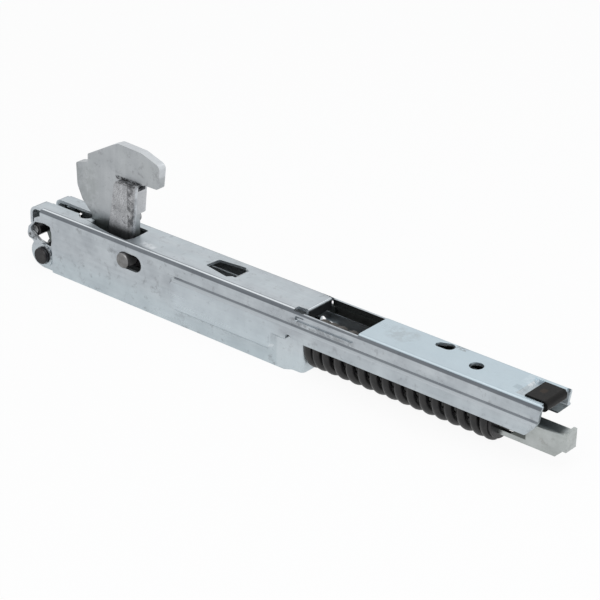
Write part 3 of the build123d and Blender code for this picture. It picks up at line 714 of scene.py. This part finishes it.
    def make_sheet(self) -> bpy.types.Material:
        """Plating of the folded channel. A later patch covers the ones before it.

        Returns:
            The finished material.
        """
        under = self.shade_insides() + self.mark_web()
        over = self.shade_outsides() + self.mark_ends()
        return ZincFinish(
            "zinc_sheet",
            light=(0.52, 0.56, 0.59),
            dark=(0.37, 0.4, 0.43),
            stain=(0.2, 0.21, 0.225),
            tint=(0.48, 0.58, 0.62),
            # Strength of the painted shade and painted highlights on the bends
            bend=0.9,
            patches=under + over,
        ).build()

    def make_arm(self) -> bpy.types.Material:
        """Plating of the hook arm, darker towards the slot in the web with painted shade, and with
        a painted shadow above the lever.

        Returns:
            The finished material.
        """
        patches = (
            Patch(
                "smudge on the arm",
                (0.26, 0.28, 0.28),
                0.4,
                x=(10.0, 22.0, 4.0),
                z=(30.0, 44.0, 4.0),
                ragged=3.0,
            ),
            # Painted shade on the arm inside the housing, darker towards the bottom
            Patch(
                "painted shade inside the housing",
                (0.07, 0.085, 0.08),
                0.85,
                x=(-10.0, 60.0, 1.0),
                z=(-2.0, 24.0, 6.0),
            ),
            # Painted shadow in the gap between the lever's top and the hook
            Patch(
                "painted shadow above the lever",
                (0.012, 0.012, 0.013),
                0.97,
                x=(34.0, 46.6, 0.8),
                z=(45.6, 46.75, 0.35),
                ragged=0.9,
            ),
            Patch(
                "cut edges of the hook",
                (0.72, 0.75, 0.78),
                0.45,
                y=(-1.6, 2.0, 0.15),
                z=(52.0, 61.0, 1.0),
            ),
        )
        return ZincFinish(
            "zinc_plate",
            light=(0.46, 0.48, 0.5),
            dark=(0.34, 0.36, 0.38),
            stain=(0.16, 0.165, 0.175),
            tint=(0.46, 0.485, 0.49),
            gloss_low=0.32,
            gloss_high=0.5,
            grain=Grain.UPRIGHT,
            speckle=0.2,
            patches=patches,
        ).build()

    def make_lever(self) -> bpy.types.Material:
        """Granular plating of the lock lever with a painted dark reflection beside its bend,
        painted highlights on the bend and the face beyond it, and painted shade at the slot and
        under the hook.

        Returns:
            The finished material.
        """
        patches = (
            # Painted dark reflection on the lever's bend
            Patch(
                "dark band beside the bend",
                (0.05, 0.052, 0.055),
                0.8,
                x=(41.6, 43.9, 0.5),
                y=(-4.2, -3.3, 0.2),
                ragged=2.2,
            ),
            # Painted shade on the lever near the slot in the web
            Patch(
                "painted shade at the slot in the web",
                (0.035, 0.038, 0.04),
                0.85,
                x=(30.0, 50.0, 1.0),
                z=(20.0, 26.0, 3.0),
            ),
            # Painted highlight along the lever's bend
            Patch(
                "painted highlight on the bend",
                (0.8, 0.82, 0.84),
                0.6,
                x=(44.4, 45.6, 0.2),
                y=(-3.0, -2.2, 0.3),
                ragged=3.0,
            ),
            # Painted light on the lever's side face
            Patch(
                "face beyond the bend",
                (0.6, 0.62, 0.64),
                0.55,
                x=(44.0, 46.0, 0.2),
                y=(-2.4, 4.2, 0.3),
            ),
            Patch(
                "shade under the hook",
                (0.03, 0.03, 0.03),
                0.8,
                x=(30.0, 47.0, 1.0),
                z=(45.2, 46.2, 0.3),
                ragged=1.0,
            ),
        )
        return ZincFinish(
            "zinc_granular",
            light=(0.62, 0.63, 0.65),
            dark=(0.17, 0.175, 0.185),
            stain=(0.08, 0.08, 0.085),
            tint=(0.5, 0.51, 0.52),
            gloss_low=0.3,
            gloss_high=0.5,
            grain=Grain.UPRIGHT,
            speckle=0.75,
            patches=patches,
        ).build()

    def make_rod(self) -> bpy.types.Material:
        """Plating of the tie rod, with painted shade where it runs inside.

        Returns:
            The finished material.
        """
        patches = (
            # Painted shade on the rod where it runs inside the channel
            Patch("painted shade inside the channel", (0.03, 0.03, 0.03), 0.9, x=(-10.0, 209.5, 1.0)),
            Patch(
                "shaded strap beyond the seat",
                (0.04, 0.045, 0.04),
                0.85,
                x=(209.0, 222.0, 0.5),
                z=(6.9, 16.0, 0.2),
            ),
            Patch(
                "shaded top of the box end",
                (0.09, 0.1, 0.105),
                0.8,
                x=(222.0, 234.5, 2.0),
                y=(-2.4, 2.4, 0.4),
                z=(14.0, 14.5, 0.2),
            ),
        )
        return ZincFinish(
            "zinc_rod",
            light=(0.53, 0.555, 0.555),
            dark=(0.34, 0.36, 0.355),
            stain=(0.2, 0.2, 0.185),
            tint=(0.4, 0.44, 0.42),
            patches=patches,
        ).build()

    def make_spring(self) -> bpy.types.Material:
        """Black coating of the main spring, with painted light in brown on top of its first
        windings.

        Returns:
            The finished material.
        """
        # Painted light on the tops of the first windings, seen through the window
        lit_tops = Patch(
            "painted light on the tops", (0.15, 0.14, 0.13), 0.9, x=(120.0, 160.0, 1.0), z=(15.0, 19.0, 1.5)
        )
        return DarkFinish(
            "black_spring",
            (0.009, 0.009, 0.01),
            (0.024, 0.022, 0.021),
            specular=0.42,
            patches=(lit_tops,),
        ).build()

    def make_cap(self) -> bpy.types.Material:
        """Black plastic of the end cap with a brownish spot in its middle.

        Returns:
            The finished material.
        """
        spot = Patch(
            "brownish spot",
            (0.03, 0.02, 0.014),
            0.7,
            x=(225.6, 227.0, 0.7),
            y=(-1.2, 0.8, 0.7),
            z=(25.0, 26.0, 0.2),
        )
        return DarkFinish(
            "black_cap",
            (0.006, 0.006, 0.006),
            (0.01, 0.009, 0.008),
            gloss=0.42,
            specular=0.12,
            patches=(spot,),
        ).build()


def dress(node: bpy.types.Object, material: bpy.types.Material, edge: float) -> None:
    """Give a CAD node its finish and softly broken edges.

    Args:
        node: The carried-over CAD object.
        material: Its finish.
        edge: Width of the broken edges.
    """
    weld_reach = 0.002
    sharp_degrees = 40
    node.data.materials.clear()
    node.data.materials.append(material)
    node.data.shade_smooth()
    weld = node.modifiers.new("weld", "WELD")
    weld.merge_threshold = weld_reach * MM
    bevel = node.modifiers.new("edges", "BEVEL")
    bevel.width = edge * MM
    bevel.segments = 2
    bevel.limit_method = "ANGLE"
    bevel.angle_limit = math.radians(sharp_degrees)
    weighted = node.modifiers.new("flat faces", "WEIGHTED_NORMAL")
    weighted.mode = "FACE_AREA"
    weighted.weight = 100
    log.info("dressed %s with %s", node.name, material.name)


@dataclass
class CoilSpring:
    """Right-handed compression spring along X with closed, ground ends.

    Steps are the rings of one turn and sides the corners of one ring.
    """

    CLOSED_STEP: ClassVar[float] = 1.05
    INSET: ClassVar[float] = 0.2
    RIGHT_TURNS: ClassVar[int] = 1

    name: str
    left: float
    right: float
    diameter: float
    wire: float
    pitch: float
    height: float
    phase: float = 0.0
    left_turns: int = 1
    steps: int = 40
    sides: int = 18

    def path(self) -> list[Vector]:
        """Centre line of the wire.

        Returns:
            Points from the left end to the right end.
        """
        inset = self.wire * self.INSET
        closed = self.wire * self.CLOSED_STEP
        closed_turns = self.left_turns + self.RIGHT_TURNS
        free_length = self.right - self.left - 2 * inset - closed * closed_turns
        free_turns = free_length / self.pitch
        turns = closed_turns + free_turns
        radius = (self.diameter - self.wire) / 2
        count = round(turns * self.steps)
        centre = []
        for i in range(count + 1):
            turn = turns * i / count
            beyond = turn - self.left_turns
            x = self.left + inset + closed * min(turn, self.left_turns)
            x += self.pitch * min(max(beyond, 0), free_turns)
            x += closed * max(beyond - free_turns, 0)
            angle = 2 * math.pi * turn + self.phase
            y = radius * math.cos(angle)
            centre.append(place(x, y, self.height + radius * math.sin(angle)))
        return centre

    def ring(
        self, mesh: bmesh.types.BMesh, point: Vector, tangent: Vector
    ) -> list[bmesh.types.BMVert]:
        """Add the wire's outline at one point, ground flat at the spring's ends.

        Args:
            mesh: Mesh under construction.
            point: Centre of the ring.
            tangent: Direction of the wire.

        Returns:
            The ring's corners.
        """
        side = tangent.cross(Vector((1, 0, 0))).normalized()
        up = side.cross(tangent).normalized()
        lowest = place(self.left, 0, 0).x
        highest = place(self.right, 0, 0).x
        corners = []
        for k in range(self.sides):
            angle = 2 * math.pi * k / self.sides
            spot = point + self.wire / 2 * MM * (math.cos(angle) * side + math.sin(angle) * up)
            spot.x = min(max(spot.x, lowest), highest)
            corners.append(mesh.verts.new(spot))
        return corners

    def build(self, material: bpy.types.Material) -> bpy.types.Object:
        """Make the spring's mesh.

        Args:
            material: Finish of the wire.

        Returns:
            The new piece.
        """
        mesh = bmesh.new()
        points = self.path()
        rings = []
        for i, point in enumerate(points):
            before = points[max(i - 1, 0)]
            after = points[min(i + 1, len(points) - 1)]
            rings.append(self.ring(mesh, point, (after - before).normalized()))
        for first, second in zip(rings, rings[1:]):
            for k in range(self.sides):
                n = (k + 1) % self.sides
                mesh.faces.new((first[k], first[n], second[n], second[k]))
        mesh.faces.new(rings[0])
        mesh.faces.new(list(reversed(rings[-1])))
        bmesh.ops.recalc_face_normals(mesh, faces=mesh.faces)
        data = bpy.data.meshes.new(self.name)
        mesh.to_mesh(data)
        mesh.free()
        data.shade_smooth()
        data.materials.append(material)
        piece = bpy.data.objects.new(self.name, data)
        bpy.context.scene.collection.objects.link(piece)
        log.info("wound %s", self.name)
        return piece


@dataclass
class Housing:
    """Folded channel with its end cap, main pivot and spacers."""

    finishes: Finishes
    sheet_edge: float = 0.09
    cap_edge: float = 0.15
    rivet_edge: float = 0.15
    spacer_edge: float = 0.1

    def build(self, nodes: dict[str, bpy.types.Object]) -> None:
        """Dress the fixed pieces.

        Args:
            nodes: CAD objects by name.
        """
        dress(nodes["channel"], self.finishes.sheet, self.sheet_edge)
        dress(nodes["end_cap"], self.finishes.cap, self.cap_edge)
        dress(nodes["pivot_rivet"], self.finishes.dark, self.rivet_edge)
        for name in ("spacer_near", "spacer_far"):
            dress(nodes[name], self.finishes.dark, self.spacer_edge)


@dataclass
class HookArm:
    """Hook arm with its bush, pins, sleeves and the lock lever that rides on it."""

    finishes: Finishes
    plate_edge: float = 0.3
    lever_edge: float = 0.15
    bush_edge: float = 0.1
    sleeve_edge: float = 0.15
    pin_edge: float = 0.1
    rivet_edge: float = 0.06

    def build(self, nodes: dict[str, bpy.types.Object]) -> None:
        """Dress the swinging pieces.

        Args:
            nodes: CAD objects by name.
        """
        dress(nodes["hook_arm"], self.finishes.arm, self.plate_edge)
        dress(nodes["lock_lever"], self.finishes.lever, self.lever_edge)
        dress(nodes["arm_bush"], self.finishes.dark, self.bush_edge)
        for name in ("stop_sleeve_near", "stop_sleeve_far"):
            dress(nodes[name], self.finishes.dark, self.sleeve_edge)
        for name in ("stop_pin", "rod_pin"):
            dress(nodes[name], self.finishes.pin, self.pin_edge)
        dress(nodes["lever_rivet"], self.finishes.lever, self.rivet_edge)


def main_spring() -> CoilSpring:
    """Sizes of the main spring.

    Returns:
        The spring, not wound yet.
    """
    return CoilSpring(
        "main_coil",
        left=130.35,
        right=209.95,
        diameter=17.4,
        wire=3.6,
        pitch=5.3,
        height=9.9,
        phase=math.pi / 4,
        left_turns=2,
    )


def detent_spring() -> CoilSpring:
    """Sizes of the small spring behind the detent pin.

    Returns:
        The spring, not wound yet.
    """
    return CoilSpring(
        "detent_coil",
        left=54.05,
        right=93.35,
        diameter=6.4,
        wire=1.0,
        pitch=2.5,
        height=17.8,
        steps=24,
        sides=10,
    )


@dataclass
class SpringDrive:
    """Tie rod, main spring and seat plate."""

    finishes: Finishes
    spring: CoilSpring = field(default_factory=main_spring)
    rod_edge: float = 0.12
    seat_edge: float = 0.12

    def build(self, nodes: dict[str, bpy.types.Object]) -> None:
        """Dress the rod and wind the spring.

        Args:
            nodes: CAD objects by name.
        """
        dress(nodes["tie_rod"], self.finishes.rod, self.rod_edge)
        dress(nodes["spring_seat"], self.finishes.dark, self.seat_edge)
        coil = self.spring.build(self.finishes.spring)
        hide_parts("main_spring")
        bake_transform(coil)


@dataclass
class Detent:
    """Detent pin with its slider and spring."""

    finishes: Finishes
    spring: CoilSpring = field(default_factory=detent_spring)
    pin_edge: float = 0.08
    slider_edge: float = 0.1

    def build(self, nodes: dict[str, bpy.types.Object]) -> None:
        """Dress the pin and wind the spring.

        Args:
            nodes: CAD objects by name.
        """
        dress(nodes["detent_pin"], self.finishes.pin, self.pin_edge)
        dress(nodes["detent_slider"], self.finishes.dark, self.slider_edge)
        coil = self.spring.build(self.finishes.bright_spring)
        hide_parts("detent_spring")
        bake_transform(coil)


@dataclass(frozen=True)
class Lamp:
    """Square soft lamp that points at the middle of the hinge, placed and sized in metres."""

    name: str
    spot: tuple[float, float, float]
    size: float
    watts: float

    def hang(self) -> None:
        """Add the lamp to the scene."""
        data = bpy.data.lights.new(self.name, "AREA")
        data.size = self.size
        data.energy = self.watts
        lamp = bpy.data.objects.new(self.name, data)
        lamp.location = self.spot
        lamp.rotation_mode = "QUATERNION"
        lamp.rotation_quaternion = (-Vector(self.spot)).to_track_quat("-Z", "Y")
        bpy.context.scene.collection.objects.link(lamp)


@dataclass
class Studio:
    """Pale floor, white surroundings, lamps and the camera at the photograph's angle."""

    CAMERA_RIGHT: ClassVar[Vector] = Vector((0.765915, 0.642674, 0.018567))
    CAMERA_UP: ClassVar[Vector] = Vector((-0.300131, 0.331848, 0.894315))
    CAMERA_BACK: ClassVar[Vector] = Vector((0.568592, -0.690541, 0.447053))

    camera_place: tuple[float, float, float] = (555.8, -526.6, 364.7)
    lens: float = 129.16
    sensor: float = 36.0
    nearest_m: float = 0.01
    farthest_m: float = 20.0
    floor_height: float = -0.02
    floor_reach_m: float = 3.0
    floor_grey: float = 0.8
    floor_white: float = 0.93
    sky_colour: Colour = (0.93, 0.96, 1.0)
    sky_strength: float = 0.45
    lamps: tuple[Lamp, ...] = (
        Lamp("key", (0.35, -0.75, 0.95), 0.8, 6.0),
        Lamp("top", (0.25, 0.1, 1.1), 0.9, 3.5),
        Lamp("side", (0.95, 0.1, 0.4), 0.4, 1.6),
    )

    def add_camera(self) -> None:
        """Place the camera."""
        data = bpy.data.cameras.new("camera")
        data.lens = self.lens
        data.sensor_width = self.sensor
        data.clip_start = self.nearest_m
        data.clip_end = self.farthest_m
        camera = bpy.data.objects.new("camera", data)
        axes = Matrix((self.CAMERA_RIGHT, self.CAMERA_UP, self.CAMERA_BACK))
        turn = axes.transposed().to_4x4()
        camera.matrix_world = Matrix.Translation(place(*self.camera_place)) @ turn
        bpy.context.scene.collection.objects.link(camera)
        bpy.context.scene.camera = camera

    def white_rays(self, nodes: bpy.types.Nodes, links: bpy.types.NodeLinks) -> Socket:
        """Mask of the camera, mirror and see-through rays, which all see white.

        Args:
            nodes: Nodes of the material or the world.
            links: Its links.

        Returns:
            Socket that is 1 for those rays.
        """
        path = nodes.new("ShaderNodeLightPath")
        seen = path.outputs["Is Camera Ray"]
        for name in ("Is Glossy Ray", "Is Transmission Ray"):
            either = nodes.new("ShaderNodeMath")
            either.operation = "MAXIMUM"
            links.new(seen, either.inputs[0])
            links.new(path.outputs[name], either.inputs[1])
            seen = either.outputs[0]
        return seen

    def make_floor_finish(self) -> bpy.types.Material:
        """Pale floor that the camera sees as white, with the hinge's shadow on it.

        Returns:
            The floor's material.
        """
        material = bpy.data.materials.new("floor")
        material.use_nodes = True
        nodes = material.node_tree.nodes
        links = material.node_tree.links
        nodes.clear()
        output = nodes.new("ShaderNodeOutputMaterial")
        diffuse = nodes.new("ShaderNodeBsdfDiffuse")
        diffuse.inputs["Color"].default_value = (self.floor_grey,) * 3 + (1,)
        glow = nodes.new("ShaderNodeEmission")
        glow.inputs["Strength"].default_value = 1.0
        mix = nodes.new("ShaderNodeMixShader")
        share = nodes.new("ShaderNodeMath")
        share.operation = "MULTIPLY"
        share.inputs[1].default_value = self.floor_white
        links.new(self.white_rays(nodes, links), share.inputs[0])
        links.new(share.outputs[0], mix.inputs[0])
        links.new(diffuse.outputs[0], mix.inputs[1])
        links.new(glow.outputs[0], mix.inputs[2])
        links.new(mix.outputs[0], output.inputs["Surface"])
        return material

    def add_floor(self) -> None:
        """Lay the floor."""
        mesh = bpy.data.meshes.new("floor")
        reach = self.floor_reach_m
        z = self.floor_height * MM
        rim = [(-reach, -reach, z), (reach, -reach, z), (reach, reach, z), (-reach, reach, z)]
        mesh.from_pydata(rim, [], [(0, 1, 2, 3)])
        floor = bpy.data.objects.new("floor", mesh)
        bpy.context.scene.collection.objects.link(floor)
        mesh.materials.append(self.make_floor_finish())

    def add_world(self) -> None:
        """Surround the hinge with soft light that camera and mirror rays see as white."""
        world = bpy.data.worlds.new("studio")
        world.use_nodes = True
        bpy.context.scene.world = world
        nodes = world.node_tree.nodes
        links = world.node_tree.links
        nodes.clear()
        output = nodes.new("ShaderNodeOutputWorld")
        soft = nodes.new("ShaderNodeBackground")
        soft.inputs["Color"].default_value = (*self.sky_colour, 1)
        soft.inputs["Strength"].default_value = self.sky_strength
        white = nodes.new("ShaderNodeBackground")
        white.inputs["Color"].default_value = (1, 1, 1, 1)
        white.inputs["Strength"].default_value = 1.0
        mix = nodes.new("ShaderNodeMixShader")
        links.new(self.white_rays(nodes, links), mix.inputs[0])
        links.new(soft.outputs[0], mix.inputs[1])
        links.new(white.outputs[0], mix.inputs[2])
        links.new(mix.outputs[0], output.inputs["Surface"])

    def build(self) -> None:
        """Set up the whole studio."""
        self.add_camera()
        self.add_floor()
        self.add_world()
        for lamp in self.lamps:
            lamp.hang()
        bpy.context.scene.view_settings.view_transform = "Standard"


def corners(limits: tuple[Vector, Vector]) -> list[list[float]]:
    """Plain lists of a box's two corners."""
    return [list(limits[0]), list(limits[1])]


def main() -> None:
    """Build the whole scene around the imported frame."""
    logging.basicConfig(level=logging.INFO, format="%(name)s %(message)s")
    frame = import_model()
    finishes = Finishes()
    for part in (Housing(finishes), HookArm(finishes), SpringDrive(finishes), Detent(finishes)):
        part.build(frame["nodes"])
    Studio().build()
    bpy.context.view_layer.update()


if __name__ == "__main__":
    main()
